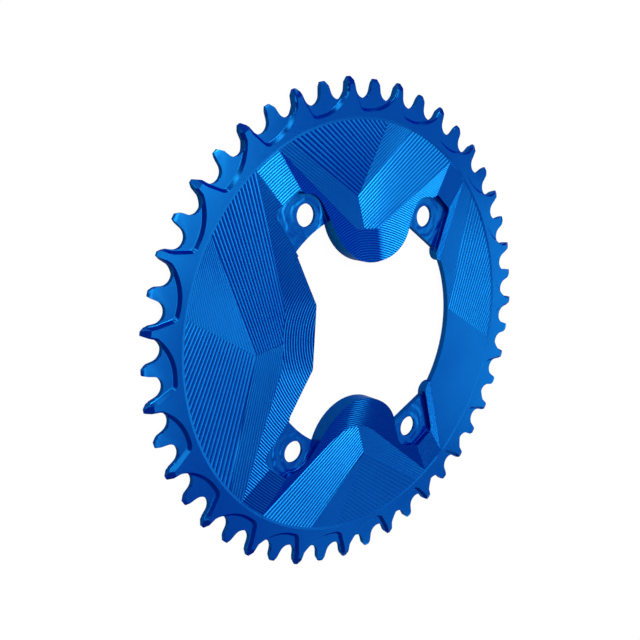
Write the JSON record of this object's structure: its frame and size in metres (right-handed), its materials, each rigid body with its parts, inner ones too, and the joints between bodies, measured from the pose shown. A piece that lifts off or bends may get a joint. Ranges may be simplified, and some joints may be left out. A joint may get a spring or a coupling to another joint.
{
  "type": "bicycle chainring",
  "caption": "Narrow-wide bicycle chainring with a sculpted front, raised arms and noses, and uneven bolt tabs round an open middle.",
  "frame": {"origin": "centre of the bolt circle, on the ring's axis in the plane of the tabs' front faces, where the crank's arms lie", "axes": "+Z along the ring's axis out of the sculpted front; +Y midway between two bolts, through a narrow tooth; +X towards the wider part of the opening, where the crank arm passes"},
  "size_m": [0.1937, 0.1934, 0.0082],
  "materials": {
    "anodised_blue": "blue anodised, with fine tool lines"
  },
  "bodies": {
    "root": {"chainring": "anodised_blue"}
  },
  "joints": []
}
